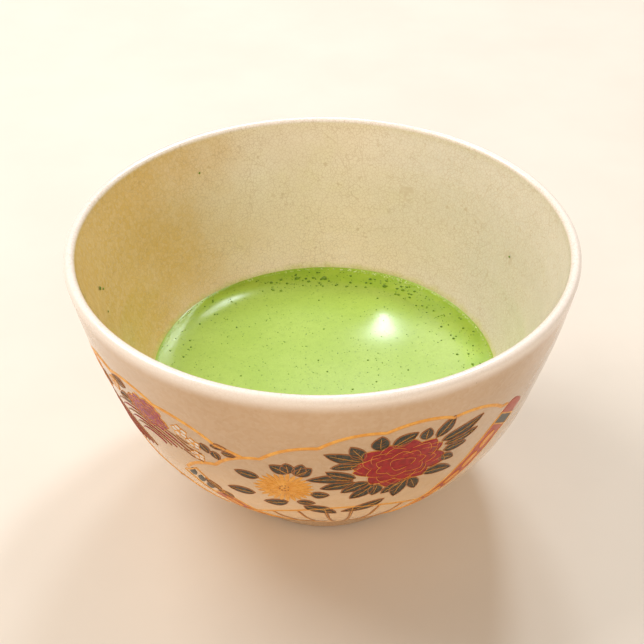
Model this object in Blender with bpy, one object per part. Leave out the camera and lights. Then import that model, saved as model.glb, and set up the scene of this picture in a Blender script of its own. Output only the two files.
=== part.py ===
"""A matcha bowl (chawan) for the tea ceremony, with a bowl of whisked tea in it.

Frame: metres, +Z up, the origin in the middle of the foot ring's flat underside. Every piece is a solid of
revolution about Z:

    clay_body    the thrown stoneware body with its foot ring, bare clay at the foot
    glaze_coat   the crackled glaze over the inside, the lip and the outside, down to the foot ring
    tea          the liquid in the bottom of the bowl
    foam         the whisked foam that floats on the tea
"""

import math

import bmesh
import bpy
from mathutils import Vector

MM = 0.001
SEGMENTS = 48  # facets round each piece
TOUCHING_GAP = 0.3 * MM  # left between two pieces that touch

# The bowl's driving sizes. The glaze surface is what these describe.
BOWL_HEIGHT = 75.0 * MM
RIM_RADIUS = 61.0 * MM
LIP_RADIUS = 1.45 * MM  # the lip is a half round of this radius
LIP_STEPS = 8
GLAZE_THICKNESS = 0.5 * MM

# The foot ring: its outer side leans in a little towards the bottom.
FOOT_RADIUS = 27.2 * MM
FOOT_BASE_RADIUS = 26.6 * MM
FOOT_RING_WIDTH = 5.6 * MM
FOOT_RECESS_DEPTH = 5.5 * MM
FOOT_EDGE_CHAMFER = 0.8 * MM
GLAZE_END_HEIGHT = 2.5 * MM  # below this the foot is bare

# The drink.
FOAM_HEIGHT = 34.0 * MM  # the foam's flat top, above the foot's underside
FOAM_THICKNESS = 2.0 * MM
MENISCUS_RISE = 0.6 * MM  # how far the foam climbs where it meets the wall
MENISCUS_WIDTH = 2.4 * MM

# Sections of the glaze surface in mm, as (radius, height), from the bottom up to where the lip's round begins.
LIP_CENTRE = (RIM_RADIUS - LIP_RADIUS, BOWL_HEIGHT - LIP_RADIUS)
OUTER_STATIONS = (
    (FOOT_RADIUS / MM, 5.6),
    (27.7, 7.3),
    (29.6, 9.1),
    (34.5, 13.0),
    (40.8, 19.0),
    (47.3, 27.0),
    (52.2, 37.0),
    (55.7, 49.0),
    (58.7, 61.0),
    (RIM_RADIUS / MM, LIP_CENTRE[1] / MM),
)
INNER_STATIONS = (
    (0.0, 12.2),
    (13.0, 12.8),
    (25.0, 15.8),
    (36.0, 22.8),
    (42.2, 30.8),
    (47.0, 40.0),
    (51.0, 51.0),
    (54.4, 63.0),
    ((RIM_RADIUS - 2 * LIP_RADIUS) / MM, LIP_CENTRE[1] / MM),
)


def smooth_line(stations, steps=2):
    """Points in metres along a Catmull-Rom curve through the stations, with `steps` spans between each two."""
    knots = [Vector(station) * MM for station in stations]
    before = 2 * knots[0] - knots[1]
    after = 2 * knots[-1] - knots[-2]
    knots = [before, *knots, after]
    points = []
    for p0, p1, p2, p3 in zip(knots, knots[1:], knots[2:], knots[3:]):
        for i in range(steps):
            t = i / steps
            points.append(
                0.5
                * (
                    2 * p1
                    + (p2 - p0) * t
                    + (2 * p0 - 5 * p1 + 4 * p2 - p3) * t**2
                    + (3 * p1 - p0 - 3 * p2 + p3) * t**3
                )
            )
    points.append(knots[-2].copy())
    return points


def lip_arc():
    """The half round of the lip, from its inner side over the top to its outer side, ends left out."""
    centre = Vector(LIP_CENTRE)
    angles = [math.pi * (1 - i / LIP_STEPS) for i in range(1, LIP_STEPS)]
    return [centre + LIP_RADIUS * Vector((math.cos(a), math.sin(a))) for a in angles]


def pushed_in(line, distance):
    """The line moved sideways by `distance`, to the right of the way it runs. Points on the axis stay on it."""
    moved = []
    for i, point in enumerate(line):
        along = line[min(i + 1, len(line) - 1)] - line[max(i - 1, 0)]
        side = Vector((along.y, -along.x)).normalized()
        if point.x < 1e-9:
            side = Vector((0, -1))
        moved.append(point + side * distance)
    return moved


def glaze_line():
    """The glaze's outer face as one line: floor centre, up the inside, over the lip, down the outside to the foot."""
    outside = smooth_line(OUTER_STATIONS)
    outside.insert(0, Vector((FOOT_BASE_RADIUS + 0.3 * MM, GLAZE_END_HEIGHT)))
    return smooth_line(INNER_STATIONS) + lip_arc() + outside[::-1]


def wall_radius(line, height):
    """The radius of a line that climbs, at a height."""
    for low, high in zip(line, line[1:]):
        if low.y <= height <= high.y:
            share = (height - low.y) / (high.y - low.y)
            return low.x + share * (high.x - low.x)
    raise ValueError("the line doesn't reach that height")


def revolved(name, outline, material):
    """One closed solid: the (radius, height) outline turned about Z. It starts and ends on the axis or is a ring."""
    mesh = bmesh.new()
    rings = []
    for radius, height in outline:
        if radius < 1e-9:
            rings.append([mesh.verts.new((0, 0, height))])
            continue
        turns = (2 * math.pi * i / SEGMENTS for i in range(SEGMENTS))
        rings.append([mesh.verts.new((radius * math.cos(a), radius * math.sin(a), height)) for a in turns])
    on_axis = len(rings[0]) == 1 and len(rings[-1]) == 1
    pairs = list(zip(rings, rings[1:]))
    if not on_axis:
        pairs.append((rings[-1], rings[0]))
    for first, second in pairs:
        for i in range(SEGMENTS):
            j = (i + 1) % SEGMENTS
            corners = [
                first[i % len(first)],
                first[j % len(first)],
                second[j % len(second)],
                second[i % len(second)],
            ]
            mesh.faces.new(list(dict.fromkeys(corners)))
    bmesh.ops.recalc_face_normals(mesh, faces=mesh.faces)
    data = bpy.data.meshes.new(name)
    mesh.to_mesh(data)
    mesh.free()
    data.shade_smooth()
    data.set_sharp_from_angle(angle=math.radians(40))
    data.materials.append(material)
    obj = bpy.data.objects.new(name, data)
    bpy.context.scene.collection.objects.link(obj)
    return obj


def plain_material(name, colour, roughness, coat=0.0):
    material = bpy.data.materials.new(name)
    material.use_nodes = True
    shader = material.node_tree.nodes["Principled BSDF"]
    shader.inputs["Base Color"].default_value = (*colour, 1)
    shader.inputs["Roughness"].default_value = roughness
    shader.inputs["Metallic"].default_value = 0.0
    shader.inputs["Coat Weight"].default_value = coat
    return material


def clay_body():
    """Everything under the glaze, and the bare foot ring with the recess inside it."""
    face = pushed_in(glaze_line(), GLAZE_THICKNESS + TOUCHING_GAP)
    foot_outer = FOOT_BASE_RADIUS - GLAZE_THICKNESS - TOUCHING_GAP
    foot_inner = FOOT_BASE_RADIUS - FOOT_RING_WIDTH
    foot = [
        (foot_outer, FOOT_EDGE_CHAMFER),
        (foot_outer - FOOT_EDGE_CHAMFER, 0.0),
        (foot_inner + FOOT_EDGE_CHAMFER, 0.0),
        (foot_inner, FOOT_EDGE_CHAMFER),
        (foot_inner - 1.0 * MM, FOOT_RECESS_DEPTH - FOOT_EDGE_CHAMFER),
        (foot_inner - 2.2 * MM, FOOT_RECESS_DEPTH),
        (0.0, FOOT_RECESS_DEPTH),
    ]
    clay = plain_material("stoneware", (0.62, 0.47, 0.33), 0.8)
    return revolved("clay_body", [tuple(p) for p in face] + foot, clay)


def glaze_coat():
    """A skin of even thickness, whose lower edge on the foot is square."""
    face = glaze_line()
    back = pushed_in(face, GLAZE_THICKNESS)
    glaze = plain_material("crackle_glaze", (0.86, 0.78, 0.63), 0.2, coat=0.6)
    return revolved("glaze_coat", [tuple(p) for p in face + back[::-1]], glaze)


def drink_side(bottom, top):
    """The inside wall, less the touching gap, between two heights."""
    wall = pushed_in(smooth_line(INNER_STATIONS), -TOUCHING_GAP)
    between = [tuple(p) for p in wall if bottom + 0.2 * MM < p.y < top - 0.2 * MM]
    ends = [(wall_radius(wall, height), height) for height in (bottom, top)]
    return [ends[0], *between, ends[1]]


def tea():
    """The liquid: it fills the bottom of the bowl up to the foam."""
    top = FOAM_HEIGHT - FOAM_THICKNESS - TOUCHING_GAP
    wall = pushed_in(smooth_line(INNER_STATIONS), -TOUCHING_GAP)
    floor = [tuple(p) for p in wall if p.y < top - 0.2 * MM]
    green = plain_material("tea", (0.28, 0.42, 0.05), 0.15)
    return revolved("tea", [*floor, (wall_radius(wall, top), top), (0.0, top)], green)


def foam():
    """The whisked layer, a little higher where it clings to the wall."""
    side = drink_side(FOAM_HEIGHT - FOAM_THICKNESS, FOAM_HEIGHT + MENISCUS_RISE)
    edge = side[-1][0]
    top = [
        (edge - 0.4 * MENISCUS_WIDTH, FOAM_HEIGHT + 0.25 * MENISCUS_RISE),
        (edge - MENISCUS_WIDTH, FOAM_HEIGHT),
        (0.0, FOAM_HEIGHT),
    ]
    pale_green = plain_material("foam", (0.5, 0.66, 0.13), 0.35)
    return revolved("foam", [(0.0, side[0][1]), *side, *top], pale_green)


def main():
    for obj in list(bpy.data.objects):
        bpy.data.objects.remove(obj)
    clay_body()
    glaze_coat()
    tea()
    foam()


main()
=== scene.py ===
"""The matcha bowl's looks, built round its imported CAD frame.

The glaze, the clay and the foam replace their CAD nodes with finer turned meshes. The painted fans lie on
the outside as thin raised enamel, one piece for each colour. Sizes are in millimetres unless a name says
otherwise.
"""

import math
import random

import bmesh
import bpy
from mathutils import Matrix, Vector, noise


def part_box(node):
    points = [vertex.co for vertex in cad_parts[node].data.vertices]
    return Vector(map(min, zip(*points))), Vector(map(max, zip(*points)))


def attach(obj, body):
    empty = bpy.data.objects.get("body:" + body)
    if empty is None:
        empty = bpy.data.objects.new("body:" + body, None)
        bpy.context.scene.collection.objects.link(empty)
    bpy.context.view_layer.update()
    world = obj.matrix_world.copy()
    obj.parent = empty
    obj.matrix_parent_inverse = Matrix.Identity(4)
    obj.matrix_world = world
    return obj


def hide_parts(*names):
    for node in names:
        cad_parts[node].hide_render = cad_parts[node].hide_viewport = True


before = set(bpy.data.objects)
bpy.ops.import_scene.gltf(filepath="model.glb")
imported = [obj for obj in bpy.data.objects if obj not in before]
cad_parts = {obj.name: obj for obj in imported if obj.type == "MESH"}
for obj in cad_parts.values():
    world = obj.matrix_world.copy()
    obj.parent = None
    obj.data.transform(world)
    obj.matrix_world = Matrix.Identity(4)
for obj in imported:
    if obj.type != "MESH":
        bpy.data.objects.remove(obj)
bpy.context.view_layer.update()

MM = 0.001
BODY = "root"
AROUND = 192  # points round each turned piece
rng = random.Random(7)  # gives every random draw, in the order in which the pieces are made

# The bowl, from the frame's own box.
glaze_low, glaze_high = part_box("glaze_coat")
HEIGHT = glaze_high[2] / MM
RIM = glaze_high[0] / MM
LIP = 1.45  # radius of the lip's half round
GLAZE = 0.5  # thickness of the glaze
GLAZE_END = glaze_low[2] / MM  # height of the glaze's lower edge
FOOT_BASE = 26.6  # outer radius of the foot ring's underside
FOOT_RING = 5.6  # width of the ring
FOOT_RECESS = 5.5  # depth of the hollow inside it
FOAM_TOP = 34.0
FOAM_DEPTH = 2.0

# Sections of the glaze surface as (radius, height), from the bottom up to where the lip's round begins.
OUTER_STATIONS = (
    (27.2, 5.6), (27.7, 7.3), (29.6, 9.1), (34.5, 13.0), (40.8, 19.0),
    (47.3, 27.0), (52.2, 37.0), (55.7, 49.0), (58.7, 61.0), (RIM, HEIGHT - LIP),
)
INNER_STATIONS = (
    (0.0, 12.2), (13.0, 12.8), (25.0, 15.8), (36.0, 22.8), (42.2, 30.8),
    (47.0, 40.0), (51.0, 51.0), (54.4, 63.0), (RIM - 2 * LIP, HEIGHT - LIP),
)


# ------------ turned shapes


def smooth_line(stations):
    """Points along a Catmull-Rom curve through the stations, with eight spans between each two."""
    steps = 8
    knots = [Vector(station) for station in stations]
    knots = [2 * knots[0] - knots[1], *knots, 2 * knots[-1] - knots[-2]]
    points = []
    for p0, p1, p2, p3 in zip(knots, knots[1:], knots[2:], knots[3:]):
        for i in range(steps):
            t = i / steps
            bend = (2 * p0 - 5 * p1 + 4 * p2 - p3) * t**2 + (3 * p1 - p0 - 3 * p2 + p3) * t**3
            points.append(0.5 * (2 * p1 + (p2 - p0) * t + bend))
    points.append(knots[-2].copy())
    return points


def pushed_in(line, distance):
    """The line moved by `distance` to the right of the way it runs. Points on the axis stay on it."""
    moved = []
    for i, point in enumerate(line):
        along = line[min(i + 1, len(line) - 1)] - line[max(i - 1, 0)]
        side = Vector((along.y, -along.x)).normalized() if point.x > 1e-6 else Vector((0, -1))
        moved.append(point + side * distance)
    return moved


def spoke(turn):
    """The unit vector at a turn in radians."""
    return Vector((math.cos(turn), math.sin(turn)))


def lip_arc(steps=20):
    """The half round of the lip, from its inner side over the top to its outer side, ends left out."""
    angles = [math.pi * (1 - i / steps) for i in range(1, steps)]
    centre = Vector((RIM - LIP, HEIGHT - LIP))
    return [centre + LIP * spoke(a) for a in angles]


class Line:
    """An (x, y) line that can be read at any length along it."""

    def __init__(self, points):
        self.points = points
        self.lengths = [0.0]
        for a, b in zip(points, points[1:]):
            self.lengths.append(self.lengths[-1] + (b - a).length)

    def at(self, length):
        """The point and the unit direction at a length along the line."""
        i = 0
        while i < len(self.lengths) - 2 and self.lengths[i + 1] < length:
            i += 1
        a, b = self.points[i], self.points[i + 1]
        share = (length - self.lengths[i]) / (self.lengths[i + 1] - self.lengths[i])
        return a.lerp(b, share), (b - a).normalized()


OUTER = smooth_line(OUTER_STATIONS)
INNER = smooth_line(INNER_STATIONS)
WALL = Line(OUTER)


def wall_radius(line, height):
    """The radius of a line that climbs, at a height."""
    for low, high in zip(line, line[1:]):
        if low.y <= height <= high.y:
            return low.x + (high.x - low.x) * (height - low.y) / (high.y - low.y)
    return line[-1].x


def hand_thrown(point):
    """How far inside the true turned shape the potter's hands left the surface at a point: 0 to 0.27."""
    uneven = 0.5 + 0.5 * noise.noise(point / 26)
    turning = math.atan2(point.y, point.x)
    rings = 0.5 + 0.5 * math.sin(point.z * 1.15 + turning + 2 * noise.noise(point / 30))
    return 0.2 * uneven + 0.07 * rings


def turned(outline, around=AROUND):
    """Vertices and faces of an outline turned about Z. It starts on the axis or it is a closed ring."""
    points = []
    faces = []
    rings = []
    for radius, height in outline:
        count = 1 if radius < 1e-6 else around
        rings.append([len(points) + i for i in range(count)])
        for i in range(count):
            a = 2 * math.pi * i / around
            points.append(Vector((radius * math.cos(a), radius * math.sin(a), height)))
    pairs = list(zip(rings, rings[1:]))
    if len(rings[0]) > 1:
        pairs.append((rings[-1], rings[0]))
    for first, second in pairs:
        for i in range(around):
            j = (i + 1) % around
            low = (first[i % len(first)], first[j % len(first)])
            high = (second[j % len(second)], second[i % len(second)])
            faces.append(tuple(dict.fromkeys(low + high)))
    return points, faces


def tube_faces(first, rings, count):
    """The faces that join closed rings of `count` points each, numbered on from `first`."""
    faces = []
    for ring in range(rings - 1):
        for i in range(count):
            a = first + ring * count + i
            b = first + ring * count + (i + 1) % count
            faces.append((a, b, b + count, a + count))
    return faces


def placed(name, data):
    """A new object in the scene."""
    obj = bpy.data.objects.new(name, data)
    bpy.context.scene.collection.objects.link(obj)
    return obj


def solid(name, points, faces, material):
    """A smooth-shaded object from millimetre points, with its faces turned outwards."""
    mesh = bpy.data.meshes.new(name)
    mesh.from_pydata([point * MM for point in points], [], faces)
    mesh.validate()
    mesh.shade_smooth()
    mesh.set_sharp_from_angle(angle=math.radians(50))
    outwards = bmesh.new()
    outwards.from_mesh(mesh)
    bmesh.ops.recalc_face_normals(outwards, faces=outwards.faces)
    outwards.to_mesh(mesh)
    outwards.free()
    mesh.materials.append(material)
    return placed(name, mesh)


def piece(name, points, faces, material, replaces=()):
    """A part of the object, riding on the bowl."""
    obj = solid(name, points, faces, material)
    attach(obj, BODY)
    if replaces:
        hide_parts(*replaces)
    return obj


def point_values(obj, name, values):
    """Stores one value for each vertex, for a material to read."""
    layer = obj.data.attributes.new(name, "FLOAT", "POINT")
    layer.data.foreach_set("value", values)


# ------------ materials


CRAZE = 0.9  # size of the finest cells between the glaze's cracks


class Paint:
    """A Principled material and the nodes that feed it. Sizes in its patterns are in millimetres."""

    def __init__(self, name):
        self.material = bpy.data.materials.new(name)
        self.material.use_nodes = True
        self.tree = self.material.node_tree
        self.shader = self.tree.nodes["Principled BSDF"]
        coordinates = self.node("TexCoord")
        self.place = self.vector("SCALE", coordinates.outputs["Object"], scale=1 / MM)

    def node(self, kind, inputs=None, **settings):
        made = self.tree.nodes.new("ShaderNode" + kind)
        for key, value in settings.items():
            setattr(made, key, value)
        for key, value in (inputs or {}).items():
            self.put(made.inputs[key], value)
        return made

    def put(self, socket, value):
        if isinstance(value, bpy.types.NodeSocket):
            self.tree.links.new(value, socket)
        else:
            socket.default_value = value

    def set(self, **values):
        """Principled inputs, with underscores for the spaces in their names."""
        for key, value in values.items():
            self.put(self.shader.inputs[key.replace("_", " ").title().replace("Ior", "IOR")], value)

    def vector(self, operation, first, second=None, scale=None):
        made = self.node("VectorMath", {0: first}, operation=operation)
        if second is not None:
            self.put(made.inputs[1], second)
        if scale is not None:
            self.put(made.inputs["Scale"], scale)
        return made.outputs["Vector"]

    def times(self, first, second):
        return self.math("MULTIPLY", first, second)

    def math(self, operation, first, second):
        return self.node("Math", {0: first, 1: second}, operation=operation).outputs[0]

    def noise(self, size, detail, place=None):
        inputs = {"Vector": place or self.place, "Scale": 1 / size, "Detail": detail, "Roughness": 0.55}
        return self.node("TexNoise", inputs).outputs["Fac"]

    def cells(self, size, place, feature="F1"):
        """The distance to the nearest cell's middle, or to its edge."""
        inputs = {"Vector": place, "Scale": 1 / size}
        return self.node("TexVoronoi", inputs, feature=feature).outputs["Distance"]

    def span(self, value, low, high, to_low=0.0, to_high=1.0):
        """The value carried smoothly from low..high to to_low..to_high, and held at the ends."""
        inputs = {"Value": value, "From Min": low, "From Max": high, "To Min": to_low, "To Max": to_high}
        return self.node("MapRange", inputs, interpolation_type="SMOOTHSTEP").outputs["Result"]

    def mix(self, share, first, second):
        colours = [(*c, 1) if isinstance(c, tuple) else c for c in (first, second)]
        inputs = {0: share, 6: colours[0], 7: colours[1]}
        return self.node("Mix", inputs, data_type="RGBA").outputs[2]

    def warped(self, size, amount):
        """The place, pushed about by noise of this size."""
        inputs = {"Vector": self.place, "Scale": 1 / size, "Detail": 1.0}
        push = self.node("TexNoise", inputs).outputs["Color"]
        centred = self.vector("SUBTRACT", push, (0.5, 0.5, 0.5))
        return self.vector("ADD", self.place, self.vector("SCALE", centred, scale=amount))

    def bump(self, height, depth, strength, below=None):
        inputs = {"Height": height, "Distance": depth * MM, "Strength": strength}
        made = self.node("Bump", inputs)
        if below is not None:
            self.put(made.inputs["Normal"], below)
        return made.outputs["Normal"]


def outside_glaze(paint, broad, height):
    """Pinkish cream darkened to tan as painted shade, and paler and warmer towards the foot as painted
    bounce light.
    """
    # Painted shade: the outside's cream is darkened to a tan, well below the same glaze inside.
    colour = paint.mix(paint.span(broad, 0.3, 0.7), (0.50, 0.325, 0.185), (0.55, 0.37, 0.225))
    # Painted light: warm bounce light from below, painted paler and warmer towards the foot.
    painted_bounce_toward_foot = paint.span(height, 52, 14)
    return paint.mix(painted_bounce_toward_foot, colour, (0.95, 0.64, 0.35))


def inside_glaze(paint, broad, across, height):
    """Cream with tea stain, painted ochre shade on the left and painted cool light on the right, and a film
    of tea above the foam.
    """
    colour = paint.mix(paint.span(broad, 0.3, 0.7), (0.84, 0.735, 0.58), (0.88, 0.785, 0.65))
    # Warmer towards the bottom with tea stain, and paler there as painted light.
    stain_and_light_low_inside = paint.span(height, 64, 36)
    colour = paint.mix(stain_and_light_low_inside, colour, (0.93, 0.79, 0.58))
    stain = paint.span(paint.noise(13, 4), 0.5, 0.75, 0.0, 0.3)
    colour = paint.mix(stain, colour, (0.80, 0.74, 0.42))
    one_side = paint.math("ADD", across, paint.times(broad, 30.0))
    # Painted shade: the left side of the inside is tinted ochre.
    painted_shade_left = paint.span(one_side, -2, -36, 0.0, 0.85)
    colour = paint.mix(painted_shade_left, colour, (0.70, 0.43, 0.06))
    # Painted light: the right side of the inside is turned greyer, as under cool light.
    painted_cool_light_right = paint.span(one_side, 14, 56, 0.0, 0.8)
    colour = paint.mix(painted_cool_light_right, colour, (0.68, 0.645, 0.55))
    film_top = paint.math("ADD", height, paint.times(paint.noise(3.5, 2), -2.2))
    film = paint.span(film_top, FOAM_TOP + 0.9, FOAM_TOP - 1.6, 0.0, 0.85)
    return paint.mix(film, colour, (0.62, 0.62, 0.13))


def crazed(paint, colour, inside):
    """The colour under a fine net of cracks within a wide one, clearer inside, and the net itself."""
    bent = paint.warped(2.2, 0.6)
    fine_crack = paint.span(paint.cells(CRAZE, bent, "DISTANCE_TO_EDGE"), 0.0, 0.09, 1.0, 0.0)
    wide_crack = paint.span(paint.cells(4.6, bent, "DISTANCE_TO_EDGE"), 0.004, 0.02, 0.7, 0.0)
    crack = paint.math("MAXIMUM", fine_crack, wide_crack)
    patchy = paint.span(paint.noise(8, 2), 0.35, 0.65, 0.7, 1.0)
    strongest = paint.span(inside, 0, 1, 0.12, 0.42)
    depth = paint.times(paint.times(crack, patchy), strongest)
    colour = paint.mix(depth, colour, (0.45, 0.29, 0.12))
    tone = paint.node("TexVoronoi", {"Vector": bent, "Scale": 1 / CRAZE}).outputs["Color"]
    tone = paint.node("SeparateColor", {0: tone}).outputs[0]
    tone = paint.times(tone, paint.span(inside, 0, 1, 0.07, 0.14))
    return paint.mix(tone, colour, (0.97, 0.90, 0.76)), crack


def iron_specks(paint, colour):
    """The colour with a few brown specks in it."""
    speck = paint.span(paint.cells(7.5, paint.place), 0.018, 0.034, 1.0, 0.0)
    some = paint.span(paint.noise(11, 1), 0.56, 0.6)
    iron = paint.times(paint.times(speck, some), 0.7)
    return paint.mix(iron, colour, (0.20, 0.12, 0.05))


def crackle_glaze():
    """Cream glaze under a net of fine cracks, warmer and tea-stained inside with painted shade and light,
    darkened by painted shade and lit by painted bounce light outside, and with a few iron specks.
    """
    paint = Paint("crackle_glaze")
    inside = paint.node("Attribute", attribute_name="inside").outputs["Fac"]
    axes = paint.node("SeparateXYZ", {0: paint.place}).outputs
    height = axes["Z"]
    broad = paint.noise(24, 3)
    outside_colour = outside_glaze(paint, broad, height)
    inside_colour = inside_glaze(paint, broad, axes["X"], height)
    colour = paint.mix(inside, outside_colour, inside_colour)
    lip_starts = paint.span(inside, 0.0, 1.0, HEIGHT - 4.5, HEIGHT - 1.6)
    lip = paint.span(height, lip_starts, HEIGHT - 0.5)
    colour = paint.mix(lip, colour, (0.86, 0.78, 0.73))
    colour, crack = crazed(paint, colour, inside)
    colour = iron_specks(paint, colour)

    orange_peel = paint.bump(paint.noise(3.5, 2), 0.03, 0.3)
    cracked = paint.bump(crack, -0.012, 0.3, below=orange_peel)
    roughness = paint.span(paint.noise(6, 3), 0.3, 0.7, 0.17, 0.26)
    paint.set(base_color=colour, roughness=roughness, normal=cracked, coat_weight=0.5, coat_roughness=0.08)
    paint.set(coat_normal=orange_peel, specular_ior_level=0.5)
    return paint.material


def bare_clay():
    """Sandy buff stoneware with turning marks, darker and redder in broad patches."""
    paint = Paint("bare_clay")
    stretched = paint.vector("MULTIPLY", paint.place, (1, 1, 3.5))
    grain = paint.noise(0.6, 5, stretched)
    broad = paint.noise(12, 2)
    colour = paint.mix(paint.span(grain, 0.3, 0.7), (0.42, 0.27, 0.16), (0.62, 0.45, 0.30))
    colour = paint.mix(paint.span(broad, 0.4, 0.75, 0.0, 0.6), colour, (0.50, 0.27, 0.13))
    grit = paint.span(paint.cells(1.3, paint.place), 0.08, 0.16, 1.0, 0.0)
    colour = paint.mix(paint.times(grit, 0.6), colour, (0.15, 0.09, 0.05))
    rough = paint.bump(grain, 0.12, 0.8)
    paint.set(base_color=colour, roughness=paint.span(grain, 0.2, 0.8, 0.75, 0.95), normal=rough)
    return paint.material


def enamel(name, dark, light):
    """Overglaze enamel, brushed on unevenly so that it is thinner and lighter in places."""
    paint = Paint(name)
    strokes = paint.noise(1.1, 4)
    pooled = paint.span(paint.noise(2.6, 2), 0.35, 0.65)
    colour = paint.mix(paint.span(strokes, 0.35, 0.68), dark, light)
    colour = paint.mix(paint.times(pooled, 0.35), colour, dark)
    lumpy = paint.bump(strokes, 0.03, 0.6)
    paint.set(base_color=colour, roughness=0.34, normal=lumpy, specular_ior_level=0.3)
    paint.set(coat_weight=0.12, coat_roughness=0.12)
    return paint.material


def gold_enamel():
    """Old gold line work: part metal, worn thin to ochre here and there."""
    paint = Paint("gold_lines")
    worn = paint.span(paint.noise(1.8, 4), 0.42, 0.62)
    colour = paint.mix(worn, (0.72, 0.31, 0.045), (0.86, 0.44, 0.09))
    paint.set(base_color=colour, metallic=paint.span(worn, 0, 1, 0.05, 0.3), roughness=0.36)
    paint.set(normal=paint.bump(paint.noise(0.7, 3), 0.04, 0.6))
    return paint.material


def foam_material():
    """Whisked foam: a close froth of tiny bubbles, darker and wetter in the ring next to the wall."""
    paint = Paint("foam")
    thin = paint.node("Attribute", attribute_name="thin").outputs["Fac"]
    froth = paint.cells(0.4, paint.place)
    broad = paint.noise(15, 3)
    pale = paint.mix(paint.span(broad, 0.35, 0.65), (0.315, 0.485, 0.036), (0.352, 0.518, 0.055))
    pale = paint.mix(paint.span(froth, 0.15, 0.75, 0.0, 0.35), pale, (0.26, 0.40, 0.03))
    spotted = paint.span(paint.noise(1.6, 4), 0.45, 0.72, 0.0, 0.55)
    pale = paint.mix(spotted, pale, (0.27, 0.42, 0.03))
    wet = paint.mix(paint.span(paint.noise(5, 3), 0.35, 0.65), (0.28, 0.46, 0.014), (0.34, 0.51, 0.026))
    colour = paint.mix(thin, pale, wet)
    pinholes = paint.span(paint.cells(1.2, paint.place), 0.08, 0.24, 1.0, 0.0)
    here = paint.span(paint.noise(6, 2), 0.38, 0.6, 0.25, 0.8)
    colour = paint.mix(paint.times(pinholes, here), colour, (0.18, 0.31, 0.02))
    large = paint.span(paint.cells(3.4, paint.place), 0.05, 0.1, 0.7, 0.0)
    colour = paint.mix(large, colour, (0.17, 0.29, 0.02))
    frothy = paint.bump(froth, 0.02, 0.4)
    roughness = paint.span(thin, 0, 1, 0.5, 0.4)
    paint.set(base_color=colour, roughness=roughness, normal=frothy, specular_ior_level=0.35)
    paint.set(coat_weight=paint.span(thin, 0, 1, 0.85, 0.4), coat_roughness=0.22, coat_ior=1.55)
    return paint.material


def mottled(name, size, detail, dark, light, **settings):
    """A material of two colours, mixed in soft patches of this size."""
    paint = Paint(name)
    colour = paint.mix(paint.span(paint.noise(size, detail), 0.3, 0.7), dark, light)
    paint.set(base_color=colour, **settings)
    return paint.material


def bubble_material():
    """Larger bubbles, which show the dark tea below the foam."""
    dark = (0.10, 0.20, 0.012)
    light = (0.20, 0.34, 0.025)
    return mottled("dark_bubbles", 2, 2, dark, light, roughness=0.35, specular_ior_level=0.25)


def clear_bubble_material():
    """Wet, clear bubbles: foam green under a bright gloss."""
    dark = (0.42, 0.60, 0.07)
    light = (0.60, 0.74, 0.22)
    return mottled("wet_bubbles", 1.5, 2, dark, light, roughness=0.12, coat_weight=1.0, coat_roughness=0.03)


def tea_material():
    """The liquid under the foam, thick with powder."""
    return mottled("tea", 4, 4, (0.14, 0.25, 0.02), (0.22, 0.36, 0.04), roughness=0.1, coat_weight=0.5)


# ------------ the bowl and the drink


GROOVE_PITCH = 2.4  # of the trimming spiral under the foot
GROOVE_DEPTH = 0.32
NUB_RADIUS = 2.6

# The foam's relief: a ridge at the left and a mound at the back, which mirror the lamps. Angles in degrees.
FOAM_LEVEL = FOAM_TOP - 0.15
RIDGE_TURN = 138
RIDGE_REACH = 17
RIDGE_RISE = 0.95
RIDGE_WIDTH = 2.6
MOUND_X = 15
MOUND_Y = 24.2
MOUND_RISE = 1.4
MOUND_SPREAD_X = 9
MOUND_SPREAD_Y = 9.5
CLIMB = 0.4  # how far the foam climbs the wall
CLIMB_WIDTH = 0.7

# The darker ring between the pale foam and the wall.
RING_WIDTH = 4.4
RING_SWING = 3.8  # how much wider it is at its widest, and narrower opposite
RING_WIDEST = 38

WHOLE_FOAM = 20  # a crowd of bubbles that reaches further in than this is spread evenly


def inside_share(point, is_inside):
    """1 on the inside of the bowl, 0 on the outside, with a smooth passage over the lip."""
    if point.z <= HEIGHT - LIP:
        return 1.0 if is_inside else 0.0
    from_lip_middle = (RIM - LIP - math.hypot(point.x, point.y)) / LIP
    return 0.5 + 0.5 * max(-1.0, min(1.0, from_lip_middle))


def into_the_clay(point, is_inside):
    """The unit direction from the glaze's face into the clay. It is level except on the lip."""
    radial = Vector((point.x, point.y, 0)).normalized()
    if point.z <= HEIGHT - LIP:
        return radial if is_inside else -radial
    lip_middle = radial * (RIM - LIP) + Vector((0, 0, HEIGHT - LIP))
    return (lip_middle - point).normalized()


def make_glaze():
    """The glaze skin: its outer face, a rolled and wavy lower edge, and its back against the clay."""
    foot_edge = [Vector((FOOT_BASE + 0.3, GLAZE_END + 0.5)), Vector((FOOT_BASE + 0.1, GLAZE_END + 0.1))]
    face = INNER + lip_arc() + OUTER[::-1] + foot_edge
    back = [point for point in pushed_in(face, GLAZE)[::-3] if point.x > 0.5]
    points, faces = turned([*face, *back, Vector((0, INNER[0].y - GLAZE))])
    first_outside = 1 + AROUND * (len(INNER) - 1 + len(lip_arc()) // 2)
    first_of_back = 1 + AROUND * (len(face) - 1)
    inside = [inside_share(point, i < first_outside) for i, point in enumerate(points)]
    for i, point in enumerate(points):
        if i < first_of_back:
            points[i] = point + into_the_clay(point, i < first_outside) * hand_thrown(point)
        if GLAZE_END - 0.1 <= point.z < GLAZE_END + 1.2:
            turning = math.atan2(point.y, point.x)
            wave = 0.5 + 0.5 * noise.noise(Vector((math.cos(turning), math.sin(turning), 0.3)) * 2.4)
            points[i].z += 1.1 * wave
    glaze = piece("glaze_coat_skin", points, faces, crackle_glaze(), ["glaze_coat"])
    point_values(glaze, "inside", inside)


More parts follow.
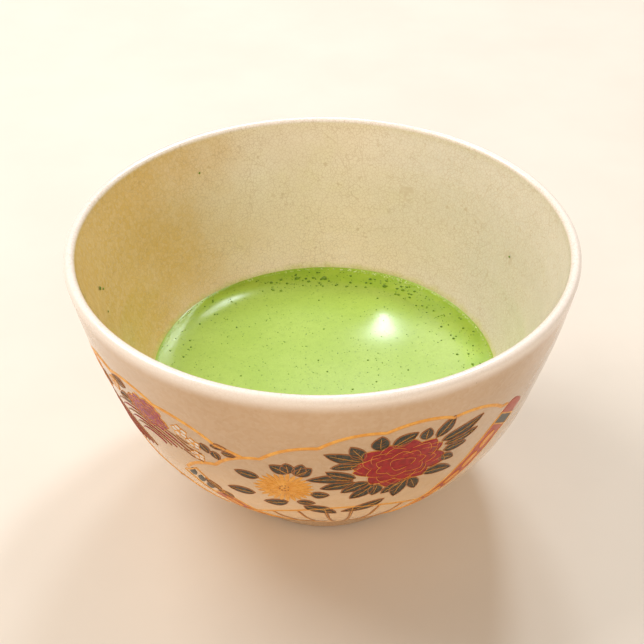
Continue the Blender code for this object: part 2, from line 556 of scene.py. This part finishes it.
def trimmed(point, recess_radius):
    """How far the trimming tool's spiral groove and the nub in the middle move the recess up at a point."""
    radius = math.hypot(point.x, point.y)
    if point.z >= FOOT_RECESS + 0.01 or radius >= recess_radius:
        return 0.0
    turning = math.atan2(point.y, point.x) / (2 * math.pi)
    groove = 0.5 + 0.5 * math.cos(2 * math.pi * (radius / GROOVE_PITCH + turning))
    nub = math.exp(-((radius / NUB_RADIUS) ** 2))
    return GROOVE_DEPTH * groove * min(1.0, radius / 3) - nub


def make_clay():
    """The thrown body under the glaze, with a trimmed foot: a recess, a turning spiral and a centre nub."""
    face = [*INNER, *lip_arc(8), *OUTER[::-1], Vector((FOOT_BASE + 0.3, GLAZE_END))]
    under_glaze = pushed_in(face, GLAZE + 0.3)[::2]
    outer = FOOT_BASE - GLAZE - 0.3
    inner = FOOT_BASE - FOOT_RING
    outer_round = [(outer - 0.1, 0.6), (outer - 0.4, 0.2), (outer - 0.9, 0.0)]
    inner_round = [(inner + 0.9, 0.0), (inner + 0.4, 0.2), (inner + 0.1, 0.6), (inner - 0.1, 1.3)]
    recess_side = [(inner - 0.8, 4.2), (inner - 1.4, 5.1), (inner - 2.4, FOOT_RECESS)]
    recess = [(inner - 2.4 - 0.33 * i, FOOT_RECESS) for i in range(1, 50)]
    foot = [(outer, 1.1), *outer_round, *inner_round, *recess_side, *recess, (0, FOOT_RECESS)]
    points, faces = turned(under_glaze + foot)
    for point in points:
        point.z += trimmed(point, inner - 2.2)
    piece("clay_body_and_foot", points, faces, bare_clay(), ["clay_body"])


def foam_height(x, y, wall):
    """The foam's surface height at a place, where the inside wall has the radius `wall`."""
    radius = math.hypot(x, y)
    gap = wall - radius
    swirl = math.atan2(y, x) + radius / 9
    whisked = 0.006 * math.sin(3 * swirl) * min(1, radius / 15) + 0.01 * noise.noise(Vector((x, y, 4)) / 14)
    plateau = FOAM_LEVEL + whisked * min(1.0, max(0.0, gap - 3) / 8)
    turned_past = math.degrees(math.atan2(y, x)) % 360 - RIDGE_TURN
    at_left_back = math.exp(-((turned_past / RIDGE_REACH) ** 2))
    ridge = RIDGE_RISE * at_left_back * math.exp(-(((gap - ring_width(x, y)) / RIDGE_WIDTH) ** 2))
    mound_x = (x - MOUND_X) / MOUND_SPREAD_X
    mound_y = (y - MOUND_Y) / MOUND_SPREAD_Y
    mound = MOUND_RISE * math.exp(-(mound_x**2) - mound_y**2)
    climb = CLIMB * math.exp(-gap / CLIMB_WIDTH)
    return plateau + ridge + mound + climb


def ring_width(x, y):
    """Width of the dark ring between the pale foam and the wall, which is wider at the back right."""
    turning = math.atan2(y, x)
    swing = RING_SWING * math.cos(turning - math.radians(RING_WIDEST))
    return RING_WIDTH + swing + 0.7 * noise.noise(Vector((x, y, 0)) / 14)


def make_foam():
    """The foam: one closed layer with a whisked top that climbs the wall a little. Returns its radius."""
    wall = wall_radius(INNER, FOAM_TOP) + 0.25
    bottom = wall_radius(INNER, FOAM_TOP - FOAM_DEPTH) - 0.3
    rows = 84
    radii = [wall * (1 - (1 - i / rows) ** 1.25) for i in range(rows + 1)]
    outline = [Vector((r, FOAM_TOP)) for r in radii]
    outline += [Vector((bottom, FOAM_TOP - FOAM_DEPTH)), Vector((0, FOAM_TOP - FOAM_DEPTH))]
    points, faces = turned(outline)
    top = 1 + AROUND * rows
    thin = []
    for i, point in enumerate(points):
        gap = wall - math.hypot(point.x, point.y)
        width = ring_width(point.x, point.y)
        thin.append(1 / (1 + math.exp((gap - width) / 0.7)))
        if i < top:
            point.z = foam_height(point.x, point.y, wall)
    foam = piece("foam_surface", points, faces, foam_material(), ["foam"])
    point_values(foam, "thin", thin)
    return wall


def dome(centre, radius, rise, points, faces):
    """Adds a closed low dome with its base just under `centre`."""
    around = 8
    levels = ((0.0, 1.0), (0.5, 0.85), (0.86, 0.45), (1.0, -0.25))
    shell, shell_faces = turned([(share * radius, up * rise) for share, up in levels], around)
    shell_faces.append(tuple(range(len(shell) - around, len(shell))))
    first = len(points)
    points.extend(centre + point for point in shell)
    faces.extend(tuple(first + i for i in face) for face in shell_faces)


def somewhere(start, end, near, far, wall):
    """A random point on the foam between two turns in degrees and two distances from the wall."""
    turning = math.radians(rng.uniform(start, end))
    gap = rng.uniform(near, far)
    if far > WHOLE_FOAM:
        gap = wall - math.sqrt(rng.random()) * (wall - near)
    x = (wall - gap) * math.cos(turning)
    y = (wall - gap) * math.sin(turning)
    return Vector((x, y, foam_height(x, y, wall)))


def make_bubbles(wall):
    """Dark bubbles: most of them in the ring at the back and along the edges, specks elsewhere."""
    points = []
    faces = []
    crowds = (
        # count, from and to in degrees round the bowl, least and most from the wall, smallest and largest
        (22, 50, 125, 3.0, 7.5, 0.42, 0.72),
        (110, 50, 118, 1.8, 9.0, 0.14, 0.46),
        (80, -5, 50, 1.8, 9.5, 0.12, 0.42),
        (50, 118, 190, 1.5, 8.0, 0.11, 0.34),
        (70, 186, 212, 0.4, 5.5, 0.12, 0.42),
        (60, 212, 365, 1.0, 6.0, 0.12, 0.36),
        (900, 0, 360, 3.0, 44.0, 0.08, 0.19),
        (60, 0, 360, 6.0, 42.0, 0.18, 0.36),
    )
    for count, start, end, near, far, small, large in crowds:
        for _ in range(count):
            centre = somewhere(start, end, near, far, wall)
            size = small + (large - small) * rng.random() ** 2.5
            dome(centre, size, 0.7 * size, points, faces)
    piece("foam_bubbles", points, faces, bubble_material())


def make_wet_edge(wall):
    """Clear wet bubbles that cling to the wall, thickest at the back on the right."""
    points = []
    faces = []
    # count, from and to in degrees round the bowl, most from the wall
    crowds = ((90, 52, 84, 1.3), (40, 20, 52, 0.9), (70, 84, 170, 0.8), (120, 170, 380, 0.8))
    for count, start, end, far in crowds:
        for _ in range(count):
            centre = somewhere(start, end, 0.35, far, wall)
            size = rng.uniform(0.14, 0.34)
            dome(centre, size, 0.8 * size, points, faces)
    piece("wet_edge_bubbles", points, faces, clear_bubble_material())


def make_specks():
    """Specks of dried tea that were splashed on the inside wall."""
    points = []
    faces = []
    # degrees round the bowl, height and size
    specks = ((188, 62, 0.5), (186, 60.5, 0.35), (191, 57, 0.3), (24, 55, 0.3), (131, 66, 0.3))
    for turning, height, size in specks:
        centre = Vector((wall_radius(INNER, height) - 0.02, 0, 0))
        first = len(points)
        dome(Vector((0, 0, 0)), size, 0.4 * size, points, faces)
        lean = Matrix.Rotation(math.radians(-82), 3, "Y")
        turn = Matrix.Rotation(math.radians(turning), 3, "Z")
        for i in range(first, len(points)):
            points[i] = turn @ (centre + lean @ points[i]) + Vector((0, 0, height))
    piece("tea_specks", points, faces, bubble_material())


# ------------ the painted fans


PIVOT = 8.0  # the fans' pivot, as a length up the wall from the top of the foot
LEAF_INNER = 30.0  # where the paper leaf begins, from the pivot
GUARD_LEFT = -46.0  # the guard sticks, in degrees off upright
GUARD_RIGHT = 39.8
GUARD_SPREAD = 0.052  # half a guard's width, for each millimetre from the pivot
SUNK = -0.06  # enamel starts this far under the surface, so that no gap shows
FILL = 0.10  # height of the enamel fills
LINE = 0.15  # height of the gold lines
EDGE_RADIUS = 51.2  # the paper's scalloped top edge, from the pivot, at the far left
SCALLOP = 13.8  # the width of one scallop in degrees
SCALLOP_DEPTH = 1.5
GUARD_TIP = 5.0  # length of the rounded end of a guard stick
PAST_PAPER = 1.0  # how far that end stands out past the paper
ROUND = [2 * math.pi * i / 12 for i in range(12)]  # the turns of a rough circle, in radians


class Fan:
    """One painted folding fan. Its own flat sheet has x to the right and y up from the fan's pivot."""

    def __init__(self, azimuth, mirrored=False, spread=15.5, right=GUARD_RIGHT, hidden=lambda x, y: False):
        self.azimuth = azimuth
        self.side = -1 if mirrored else 1
        self.spread = spread  # how much further out the scalloped edge is on the right than on the left
        self.right = right  # where the paper ends on the right, in degrees off upright
        self.hidden = hidden

    def edge(self, angle):
        """How far the paper leaf's scalloped top edge is from the pivot."""
        scallop = abs(math.sin(math.pi * (angle + 20.6) / SCALLOP))
        further = self.spread / (1 + math.exp(-(angle - 2) / 14))
        return EDGE_RADIUS + further + SCALLOP_DEPTH * scallop**0.8

    def on_wall(self, x, y, lift):
        """The point on the bowl's outside for a place on the sheet."""
        (radius, height), along = WALL.at(PIVOT + y)
        turning = math.radians(self.azimuth) + self.side * x / radius
        outward = Vector((along.y * math.cos(turning), along.y * math.sin(turning), -along.x))
        surface = Vector((radius * math.cos(turning), radius * math.sin(turning), height))
        radial = Vector((math.cos(turning), math.sin(turning), 0))
        return surface - radial * hand_thrown(surface) + outward * lift


class Colour:
    """The mesh of everything painted in one colour. It is named after its material."""

    def __init__(self, material):
        self.material = material
        self.points = []
        self.faces = []

    def fill(self, fan, outline, lift=FILL):
        """A closed outline as a low pillow of enamel."""
        middle = sum((Vector(p) for p in outline), Vector((0, 0))) / len(outline)
        if fan.hidden(*middle):
            return
        count = len(outline)
        first = len(self.points)
        for share, up in ((1.0, SUNK), (0.95, 0.75 * lift), (0.55, lift)):
            for p in outline:
                x, y = middle.lerp(Vector(p), share)
                self.points.append(fan.on_wall(x, y, up))
        self.points.append(fan.on_wall(*middle, lift))
        self.points.append(fan.on_wall(*middle, SUNK))
        self.faces.extend(tube_faces(first, 3, count))
        for i in range(count):
            j = (i + 1) % count
            self.faces.append((first + 2 * count + i, first + 2 * count + j, len(self.points) - 2))
            self.faces.append((first + j, first + i, len(self.points) - 1))

    def band(self, fan, left, right):
        """A strip of enamel between two paths of as many points, which follows the wall between them."""
        across = 5
        first = len(self.points)
        shares = [0.0, 0.0, *(i / across for i in range(1, across)), 1.0, 1.0]
        lifts = [SUNK, 0.75 * FILL, *([FILL] * (across - 1)), 0.75 * FILL, SUNK]
        sunk = list(zip(shares[-2:0:-1], [SUNK] * len(shares)))
        section = list(zip(shares, lifts)) + sunk[1:-1]
        for a, b in zip(left, right):
            for share, up in section:
                self.points.append(fan.on_wall(*a.lerp(b, share), up))
        count = len(section)
        self.faces.extend(tube_faces(first, len(left), count))
        self.faces.append(tuple(first + k for k in reversed(range(count))))
        self.faces.append(tuple(len(self.points) - count + k for k in range(count)))

    def line(self, fan, path, width, lift=LINE, taper=True):
        """A raised line of enamel along a path, drawn to a point at both ends if it tapers."""
        path = [Vector(p) for p in path]
        path = [p for p in path if not fan.hidden(*p)]
        if len(path) < 3:
            return
        first = len(self.points)
        for i, p in enumerate(path):
            along = (path[min(i + 1, len(path) - 1)] - path[max(i - 1, 0)]).normalized()
            side = Vector((along.y, -along.x)) * width / 2
            ends = min(i, len(path) - 1 - i) / (0.18 * len(path))
            full = min(1.0, 0.25 + ends) if taper else 1.0
            for across, up in ((-1, SUNK), (-0.6, lift), (0.6, lift), (1, SUNK)):
                self.points.append(fan.on_wall(*(p + side * across * full), up))
        self.faces.extend(tube_faces(first, len(path), 4))
        self.faces.append(tuple(first + k for k in (3, 2, 1, 0)))
        self.faces.append(tuple(len(self.points) - 4 + k for k in range(4)))

    def finish(self):
        piece(self.material.name, self.points, self.faces, self.material)


VERMILION = Colour(enamel("enamel_vermilion", (0.40, 0.05, 0.02), (0.52, 0.085, 0.03)))
RED = Colour(enamel("enamel_red", (0.25, 0.007, 0.011), (0.40, 0.017, 0.020)))
PURPLE = Colour(enamel("enamel_purple", (0.24, 0.010, 0.05), (0.38, 0.03, 0.09)))
DARK = Colour(enamel("enamel_dark_green", (0.028, 0.030, 0.022), (0.07, 0.065, 0.045)))
YELLOW = Colour(enamel("enamel_yellow", (0.66, 0.29, 0.04), (0.80, 0.42, 0.09)))
GREY = Colour(enamel("enamel_grey_white", (0.62, 0.57, 0.52), (0.80, 0.75, 0.70)))
CREAM = Colour(enamel("enamel_cream", (0.74, 0.30, 0.07), (0.83, 0.41, 0.13)))
UMBER = Colour(enamel("enamel_umber", (0.28, 0.10, 0.03), (0.40, 0.16, 0.05)))
GOLD = Colour(gold_enamel())
COLOURS = (VERMILION, RED, PURPLE, DARK, YELLOW, GREY, CREAM, UMBER, GOLD)


def polar(angle, radius):
    """A place on the sheet from degrees off upright, to the right, and a distance from the pivot."""
    a = math.radians(angle)
    return Vector((radius * math.sin(a), radius * math.cos(a)))


def wobbly(outline, amount):
    """The outline with the small unevenness of a brush."""
    moved = []
    for p in outline:
        across = rng.uniform(-amount, amount)
        up = rng.uniform(-amount, amount)
        moved.append(Vector(p) + Vector((across, up)))
    return moved


def blade(base, tip, width, bow=0.0):
    """The outline and the midrib of a leaf or petal, bowed sideways by a share of its length."""
    count = 9
    base = Vector(base)
    along = Vector(tip) - base
    side = Vector((-along.y, along.x)).normalized()

    def middle(t):
        return base + along * t + side * (bow * along.length * math.sin(math.pi * t))

    right = []
    left = []
    for i in range(count + 1):
        t = i / count
        half = 0.5 * width * math.sin(math.pi * t**0.85) ** 0.75 if 0 < t < 1 else 0.0
        right.append(middle(t) - side * half)
        left.append(middle(t) + side * half)
    return right + left[-2:0:-1], [middle(t) for t in (0.08, 0.25, 0.45, 0.65, 0.85)]


def paint_leaf(fan, base, tip, width, bow):
    """A dark leaf with a reddish-gold edge, a midrib and side veins."""
    outline, midrib = blade(base, tip, width, bow)
    DARK.fill(fan, wobbly(outline, 0.05))
    UMBER.line(fan, [*outline, outline[0]], 0.3, taper=False)
    GOLD.line(fan, midrib, 0.14, LINE + 0.02)
    long = (Vector(tip) - Vector(base)).length
    for i in (1, 2, 3):
        start = midrib[i]
        forward = (midrib[i + 1] - midrib[i]).normalized()
        side = Vector((-forward.y, forward.x))
        for way in (-1, 1):
            end = start + forward * 0.13 * long + side * way * 0.26 * width
            UMBER.line(fan, [start, start.lerp(end, 0.5), end], 0.1, LINE + 0.02)


def petal_outline(centre, radius, heading, count=14):
    """A broad petal with a softly notched outer edge, pointing along `heading` in degrees."""
    outline = []
    for i in range(count):
        a = 2 * math.pi * i / count
        out = math.cos(a)
        reach = radius * (1 + 0.13 * math.cos(4 * a) * max(0.0, out) + 0.06 * out)
        turn = a + math.radians(heading)
        outline.append(Vector(centre) + spoke(turn) * reach)
    return outline


def paint_peony(fan, colour, centre, wide, tall):
    """A full peony: rings of broad petals, each ring over the last, edged with gold."""
    centre = Vector(centre)
    bed = [centre + Vector((wide * math.cos(a), tall * math.sin(a))) * 0.8 for a in ROUND]
    colour.fill(fan, bed, 0.06)
    rings = ((13, 0.75, 0.28, 0), (10, 0.54, 0.27, 24), (7, 0.31, 0.24, 50), (3, 0.10, 0.18, 10))
    for level, (count, out, size, offset) in enumerate(rings):
        lift = FILL + 0.03 * level
        for i in range(count):
            heading = offset + 360 * i / count + rng.uniform(-11, 11)
            way = Vector((math.cos(math.radians(heading)) * wide, math.sin(math.radians(heading)) * tall))
            middle = centre + way * out * rng.uniform(0.92, 1.08)
            outline = petal_outline((0, 0), size * rng.uniform(0.82, 1.1), heading)
            outline = [middle + Vector((p.x * wide, p.y * tall)) for p in outline]
            colour.fill(fan, wobbly(outline, 0.06), lift)
            GOLD.line(fan, outline[-3:] + outline[:4], 0.13, lift + 0.03)


def paint_chrysanthemum(fan, centre, radius):
    """Two rows of narrow petals round a dotted eye."""
    centre = Vector(centre)
    bed = [centre + Vector((math.cos(a), 0.92 * math.sin(a))) * 0.55 * radius for a in ROUND]
    YELLOW.fill(fan, bed, 0.07)
    rows = ((26, 0.44, 1.0, 1.05, 0, 0.0), (17, 0.12, 0.62, 0.95, 9, 0.04))
    for count, start, end, width, turn, over in rows:
        for i in range(count):
            a = math.radians(turn + 360 * i / count)
            way = Vector((math.cos(a), 0.92 * math.sin(a)))
            reach = rng.uniform(0.92, 1.04)
            base = centre + way * radius * start
            tip = centre + way * radius * end * reach
            outline, midrib = blade(base, tip, width)
            YELLOW.fill(fan, outline, FILL + over)
            GOLD.line(fan, midrib, 0.14, LINE + over)
    for i in range(9):
        a = math.radians(40 * i)
        dot = centre + spoke(a) * radius * (0.16 if i else 0)
        UMBER.fill(fan, petal_outline(dot, 0.22, 0, 8), FILL + 0.07)


class GuardStick:
    """One of a fan's outermost sticks, which gets wider with the distance from the pivot."""

    def __init__(self, fan, angle):
        self.fan = fan
        self.forward = polar(angle, 1)
        self.sideways = Vector((self.forward.y, -self.forward.x))

    def across(self, distance, share):
        """The place at a distance from the pivot, `share` of the way from the middle to the right edge."""
        return self.forward * distance + self.sideways * GUARD_SPREAD * distance * share

    def bar(self, colour, start, stop):
        steps = max(2, int((stop - start) / 1.2))
        run = [start + (stop - start) * i / steps for i in range(steps + 1)]
        colour.band(self.fan, [self.across(d, -1) for d in run], [self.across(d, 1) for d in run])

    def ring(self, distance):
        """A gold line straight across."""
        GOLD.line(self.fan, [self.across(distance, 0.25 * s) for s in range(-4, 5)], 0.6, taper=False)

    def lozenges(self, middle):
        """Slender orange lozenges from this distance down towards the pivot."""
        while middle > 8:
            lozenge = [self.across(middle + 2.9 * math.cos(a), 0.34 * math.sin(a)) for a in ROUND]
            CREAM.fill(self.fan, lozenge, FILL + 0.09)
            GOLD.line(self.fan, [*lozenge, lozenge[0]], 0.26, LINE + 0.06, taper=False)
            middle -= 7.0

    def rounded_tip(self, start, length):
        steps = 8
        left = []
        right = []
        for i in range(steps + 1):
            turn = math.pi / 2 * i / steps
            half = max(0.05, math.cos(turn)) ** 0.6
            left.append(self.across(start + length * math.sin(turn), -half))
            right.append(self.across(start + length * math.sin(turn), half))
        VERMILION.band(self.fan, left, right)

    def rails(self, end):
        """The gold lines along both sides."""
        for side in (-1, 1):
            rail = [self.across(2 + (end - 2) * i / 40, side) for i in range(41)]
            GOLD.line(self.fan, rail, 0.25, taper=False)


def paint_guard(fan, angle):
    """A red guard stick that widens outwards, with orange lozenges, a dark band and a rounded tip."""
    stick = GuardStick(fan, angle)
    dark_end = fan.edge(angle) + PAST_PAPER - GUARD_TIP
    dark_start = dark_end - 3.5
    stick.bar(VERMILION, 4.0, dark_start - 0.3)
    stick.bar(DARK, dark_start + 0.3, dark_end - 0.3)
    stick.ring(dark_start)
    stick.ring(dark_end)
    stick.lozenges(dark_start - 5)
    stick.rounded_tip(dark_end + 0.3, GUARD_TIP - 0.3)
    stick.rails(dark_end)


def paint_leafy_guard(fan, angle):
    """A guard stick with the same red lower part, whose pale upper part has small dark leaves."""
    stick = GuardStick(fan, angle)
    end = fan.edge(angle) - 1.0
    red_end = end - 10.5
    stick.bar(VERMILION, 4.0, red_end)
    stick.ring(red_end + 0.3)
    stick.ring(end)
    stick.lozenges(red_end - 5)
    stick.rails(end)
    for distance in (red_end + 2.2, red_end + 5.3, red_end + 8.2):
        outline, _ = blade(stick.across(distance, -0.6), stick.across(distance + 2.6, 0.6), 2.2)
        DARK.fill(fan, outline)


def paint_frame(fan):
    """The fan without its picture and guards: the paper's two gold edges, the ribs and the pivot."""
    steps = 150
    angles = [GUARD_LEFT + (fan.right - GUARD_LEFT) * i / steps for i in range(steps + 1)]
    edge_end = fan.right - 3.0  # the edge stops at the guard's inner side
    GOLD.line(fan, [polar(a, fan.edge(a)) for a in angles if a < edge_end], 1.15, taper=False)
    GOLD.line(fan, [polar(a, LEAF_INNER) for a in angles[::3]], 0.55, taper=False)
    ribs = 7
    for i in range(1, ribs):
        angle = GUARD_LEFT + (GUARD_RIGHT - GUARD_LEFT) * i / ribs
        run = [polar(angle, 4 + (LEAF_INNER - 4) * t / 8) for t in range(9)]
        UMBER.line(fan, run, 1.0, FILL, taper=False)
        GOLD.line(fan, run, 0.22, LINE + 0.03, taper=False)
    RED.fill(fan, [2.2 * spoke(a) for a in ROUND])
    GOLD.fill(fan, [1.1 * spoke(a) for a in ROUND], FILL + 0.08)


# Leaves on the fans' sheets: where each starts, where it points to, and its width.
PEONY_LEAVES = (
    ((3, 51.5), (0, 56.5), 3.25), ((3, 50.5), (-5.5, 54), 3.38), ((2.5, 49), (-4, 48.5), 3.12),
    ((1.5, 44), (-5, 47), 3.12), ((1, 43), (-9, 43.5), 3.25), ((1.5, 42), (-6, 40), 2.99),
    ((4.5, 41.5), (-1.5, 38), 3.38), ((5.5, 40.5), (0.5, 35), 3.51), ((6.5, 40), (5.5, 35.5), 3.25),
    ((6.5, 54), (6.5, 59), 3.9), ((9, 54.5), (14.5, 58), 3.51), ((16.5, 54.5), (17, 58.5), 3.12),
    ((19, 54), (23, 60), 3.38), ((20.5, 52), (31, 56), 3.64), ((21.5, 50), (30, 51.5), 2.86),
    ((21.5, 47.5), (27.5, 47.5), 3.12), ((20.5, 45), (24.5, 43), 2.86), ((17, 40.5), (24.5, 38.5), 3.25),
    ((13, 40), (10.5, 33), 3.64), ((12, 40.5), (7.5, 35.5), 2.99), ((14, 40), (15.5, 34.5), 2.99),
    ((8.5, 32.5), (-1, 27.5), 3.12), ((-9.5, 31), (-2, 26.5), 3.64),
)
CHRYSANTHEMUM_LEAVES = (
    ((-19.5, 42.5), (-25, 43.5), 2.86), ((-20.5, 35), (-27, 35), 2.99), ((-13, 46), (-17, 48.5), 3.38),
    ((-13, 46), (-13.5, 50), 3.12), ((-11.5, 45.5), (-8, 48.5), 3.38), ((-11.5, 45.5), (-10, 50), 2.99),
    ((-8, 37.5), (-4, 37), 2.86), ((-13, 33), (-18.5, 31.5), 3.38), ((-11, 33.5), (-7, 33), 2.6),
    ((-29, 31), (-33, 34.5), 2.34), ((-26, 28.5), (-30, 30.5), 2.34),
)


def paint_flower_fan(fan, peony_colour):
    """A fan with a large peony on the right, a chrysanthemum on the left, and their leaves."""
    paint_frame(fan)
    paint_guard(fan, GUARD_RIGHT)
    for base, tip, width in PEONY_LEAVES + CHRYSANTHEMUM_LEAVES:
        paint_leaf(fan, base, tip, width, rng.uniform(-0.09, 0.09))
    paint_peony(fan, peony_colour, (11.5, 47.3), 10.6, 8.3)
    paint_chrysanthemum(fan, (-13.8, 39.5), 7.0)


ARCH = [math.radians(25 + 13 * i) for i in range(11)]  # the turns along one curved stream line, in radians
STREAM_LEAVES = (
    ((32, 50.5), (33, 47.5), 2.47), ((34.4, 48.8), (34.9, 46.0), 2.3), ((34.5, 51), (38.5, 51.5), 1.95),
    ((36.6, 49.3), (39.8, 49.2), 1.8), ((12, 56.5), (7.5, 58), 2.86), ((12, 52), (7, 51), 2.86),
    ((-14, 52), (-20, 52.5), 3.38), ((-14.5, 48), (-21, 46), 3.25), ((-2, 52), (2, 50), 2.99),
    ((-8, 44), (-5, 39.5), 3.25), ((-11, 44), (-14, 41), 2.99), ((-30, 42), (-34, 41), 2.6),
    ((-29, 33.5), (-31.5, 31), 2.6), ((-21, 34.5), (-18, 31.5), 2.6),
)


def paint_small_flower(fan, centre, radius):
    """A pale flower of five round petals, outlined."""
    centre = Vector(centre)
    for i in range(5):
        a = math.radians(72 * i + 18)
        middle = centre + spoke(a) * radius * 0.6
        petal = petal_outline(middle, radius * 0.42, math.degrees(a), 10)
        GREY.fill(fan, petal)
        GOLD.line(fan, [*petal, petal[0]], 0.18, taper=False)
    YELLOW.fill(fan, petal_outline(centre, radius * 0.25, 0, 8), FILL + 0.05)


def paint_stream_fan(fan, peony_colour):
    """A fan with two smaller peonies over a stream drawn in curved lines, with pale flowers beside it."""
    paint_frame(fan)
    paint_guard(fan, GUARD_LEFT)
    for k, centre in enumerate(((15, 41), (-17, 36), (0, 33))):
        for i in range(6):
            reach = 3.0 + 1.35 * i
            run = [Vector(centre) + Vector((1.5 * math.cos(a), math.sin(a))) * reach for a in ARCH]
            colour = UMBER if (i + k) % 2 else RED
            colour.line(fan, run, 0.42)
    for base, tip, width in STREAM_LEAVES:
        if math.degrees(math.atan2(*tip)) < fan.right - 4:
            paint_leaf(fan, base, tip, width, rng.uniform(-0.09, 0.09))
    paint_peony(fan, peony_colour, (17.5, 52.5), 5.6, 5.0)
    paint_peony(fan, peony_colour, (-8, 49.5), 7.2, 5.6)
    paint_chrysanthemum(fan, (-26, 37.5), 4.8)
    for centre, radius in (((27, 52), 2.0), ((29.5, 49), 1.8), ((29, 44.5), 1.7), ((6, 54), 2.0)):
        paint_small_flower(fan, centre, radius)
    for i in range(6):
        feather = [Vector((25, 49.5 - 1.7 * i)), Vector((27, 48 - 1.7 * i)), Vector((30.5, 47.5 - 1.7 * i))]
        UMBER.line(fan, feather, 0.3)


def paint_fans():
    """Four fans round the bowl. The one at the front lies over the right-hand end of the one beside it."""
    front = Fan(-82)
    left_azimuth = -147

    def behind_front(x, y):
        """True where the left fan would show through the front one."""
        (radius, _), _ = WALL.at(PIVOT + y)
        place = Vector((x + math.radians(left_azimuth - front.azimuth) * radius, y))
        angle = math.degrees(math.atan2(place.x, place.y))
        return angle > GUARD_LEFT - 3 and place.length < front.edge(max(angle, GUARD_LEFT)) - 0.3

    paint_flower_fan(front, RED)
    paint_leafy_guard(front, GUARD_LEFT)
    paint_stream_fan(Fan(left_azimuth, spread=12.8, right=52.0, hidden=behind_front), PURPLE)
    back = Fan(115)
    paint_flower_fan(back, PURPLE)
    paint_guard(back, GUARD_LEFT)
    right = Fan(33, mirrored=True)
    paint_stream_fan(right, RED)
    paint_guard(right, GUARD_RIGHT)


# ------------ floor, lights and camera


def make_floor():
    """A plain pale floor that curves up far away on every side."""
    flat = 1700
    rise = 900
    outline = [(0, 0), (flat / 2, 0), (flat, 0)]
    for degrees in range(9, 91, 9):
        a = math.radians(degrees)
        outline.append((flat + rise * math.sin(a), rise * (1 - math.cos(a))))
    pale = mottled("pale_floor", 60, 4, (0.72, 0.66, 0.59), (0.75, 0.69, 0.62), roughness=0.7)
    solid("floor", *turned(outline, 96), pale)


def area_light(name, towards, distance, size, power, colour, aim=(0, 0, 45), mirrored=True):
    """A round light aimed at a place in mm. Unless it is mirrored, the glaze and tea don't reflect it."""
    light = bpy.data.lights.new(name, "AREA")
    light.shape = "DISK"
    light.size = size
    light.energy = power
    light.color = colour
    obj = placed(name, light)
    way = Vector(towards).normalized()
    obj.location = Vector(aim) * MM + way * distance
    obj.rotation_euler = (-way).to_track_quat("-Z", "Y").to_euler()
    obj.visible_glossy = mirrored


def make_lights():
    """A soft key from the left and behind, soft light from the front, and two lamps that the tea shows."""
    # name, direction, distance and size in metres, power in watts, colour, and where it is aimed
    area_light("key", (-0.55, 0.22, 0.85), 0.9, 0.55, 4.7, (1.0, 0.97, 0.94))
    area_light("lamp", (0.011, 0.622, 0.783), 1.3, 0.19, 3.3, (0.88, 0.95, 1.0), aim=(15, 17.5, 34))
    area_light("second_lamp", (0.22, 0.515, 0.829), 1.3, 0.17, 5.0, (0.88, 0.95, 1.0), aim=(-32, 25, 34))
    area_light("fill", (-0.25, -1.0, 0.14), 1.4, 0.6, 5.0, (1.0, 0.83, 0.62), mirrored=False)
    area_light("room_light", (0.25, -0.85, 0.75), 1.4, 0.9, 3.3, (1.0, 0.93, 0.82), mirrored=False)
    world = bpy.data.worlds.new("room")
    world.use_nodes = True
    back = world.node_tree.nodes["Background"]
    back.inputs["Color"].default_value = (1.0, 0.88, 0.74, 1)
    back.inputs["Strength"].default_value = 0.54
    bpy.context.scene.world = world


def make_camera():
    """A short portrait lens looking down at the bowl. The rim's centre is placed in front of it."""
    camera = bpy.data.cameras.new("camera")
    camera.sensor_width = 36
    camera.lens = 61.5
    camera.shift_x = -0.076
    camera.clip_start = 0.01
    obj = placed("camera", camera)
    looking_down = math.radians(37.26)
    rolled = math.radians(1.52)
    turn = Matrix.Rotation(math.pi / 2 - looking_down, 3, "X") @ Matrix.Rotation(rolled, 3, "Z")
    rim_in_view = Vector((-11.0, 21.6, -262.0))
    obj.location = (Vector((0, 0, HEIGHT)) - turn @ rim_in_view) * MM
    obj.rotation_euler = turn.to_euler()
    bpy.context.scene.camera = obj
    bpy.context.scene.view_settings.view_transform = "Standard"


make_glaze()
make_clay()
foam_edge = make_foam()
make_bubbles(foam_edge)
make_wet_edge(foam_edge)
make_specks()
tea_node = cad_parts["tea"]
tea_node.data.materials.clear()
tea_node.data.materials.append(tea_material())
paint_fans()
for colour in COLOURS:
    colour.finish()
make_floor()
make_lights()
make_camera()
